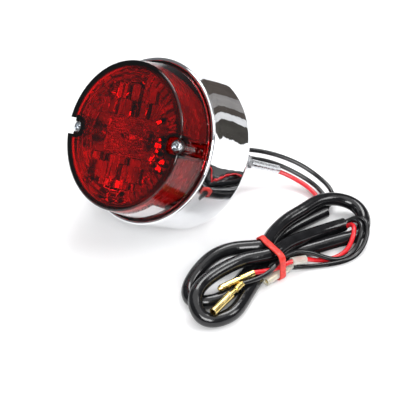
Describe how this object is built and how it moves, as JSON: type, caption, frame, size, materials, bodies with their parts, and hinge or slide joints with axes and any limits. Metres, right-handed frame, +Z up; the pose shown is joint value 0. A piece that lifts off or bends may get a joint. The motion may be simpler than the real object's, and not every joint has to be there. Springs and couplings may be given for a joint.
{
  "type": "motorcycle tail light",
  "caption": "Round chromed cup tail light with a screwed-on red lens, clear plate window, two rear studs and a sleeved lead folded into a tied hank with brass bullets",
  "frame": {"origin": "centre of the bottom of the lamp's own box, the free lead and its connectors left out; the lamp rests on z = 0", "axes": "+Z up; +X to the right seen from the lens; +Y from the lens towards the back of the lamp. The lamp's own axis leans back 36 degrees from horizontal, lens upwards, and the lamp is turned 18 degrees about it"},
  "size_m": [0.1542, 0.14, 0.1047],
  "materials": {
    "chrome": "polished chrome plate",
    "black_rubber": "matt black rubber",
    "red_lens": "transparent red acrylic with moulded prisms",
    "clear_lens": "clear acrylic, ribbed inside",
    "zinc_steel": "bright zinc-plated steel",
    "dark_washer": "dark sealing washer",
    "reflector_metal": "bright satin aluminium",
    "socket_steel": "nickel-plated steel",
    "brass": "bright pressed brass",
    "fibre_board": "brown fibre board",
    "spring_steel": "spring steel wire",
    "bulb_glass": "clear bulb glass",
    "bulb_base_metal": "nickel-plated brass",
    "black_glass": "black glass insulator",
    "solder": "dull solder",
    "filament": "tungsten and nickel wire",
    "black_vinyl": "glossy black wire insulation",
    "red_vinyl": "glossy red wire insulation",
    "black_sleeve": "glossy black vinyl sleeve",
    "red_band": "red rubber band",
    "clear_vinyl": "clear soft vinyl"
  },
  "bodies": {
    "lamp": {"housing": "chrome", "rim_gasket": "black_rubber", "lens": "red_lens", "plate_window": "clear_lens", "lens_screws": "zinc_steel", "screw_washers": "dark_washer", "stud_posts": "zinc_steel", "reflector": "reflector_metal", "socket_shell": "socket_steel", "socket_rivets": "brass", "contact_spring": "spring_steel", "stud_washers": "zinc_steel", "stud_lock_washers": "spring_steel", "stud_nuts": "zinc_steel", "mounting_nuts": "zinc_steel", "wire_grommet": "black_rubber", "inner_leads": "black_vinyl", "earth_tag": "brass", "earth_rivet": "zinc_steel", "lead_black_1": "black_vinyl", "lead_black_2": "black_vinyl", "lead_red": "red_vinyl", "loom_hank": "black_sleeve", "hank_tie": "red_band", "tail_black_1": "black_vinyl", "tail_black_2": "black_vinyl", "tail_red": "red_vinyl", "clear_sleeve": "clear_vinyl", "slid_sleeve": "clear_vinyl", "black_bullet": "brass", "red_bullet": "brass", "black_receptacle": "brass"},
    "bulb": {"bulb_glass": "bulb_glass", "bulb_base": "bulb_base_metal", "bulb_insulator": "black_glass", "bulb_contacts": "solder", "bulb_stem": "bulb_glass", "bulb_filaments": "filament"},
    "contact_plate": {"contact_disc": "fibre_board", "contact_buttons": "brass"}
  },
  "joints": [
    {"name": "bulb_push", "type": "slide", "parent": "lamp", "child": "bulb", "axis": [0, 0.809, -0.5878], "range_m": [0, 0.0025], "stiffness_N_per_m": 900, "springref_m": -0.002},
    {"name": "contact_push", "type": "slide", "parent": "lamp", "child": "contact_plate", "axis": [0, 0.809, -0.5878], "range_m": [0, 0.0025], "stiffness_N_per_m": 900, "springref_m": -0.002, "deforming": ["contact_spring", "inner_leads"]}
  ],
  "couplings": [
    {"joint": "contact_push", "follows": "bulb_push", "ratio": 1}
  ]
}
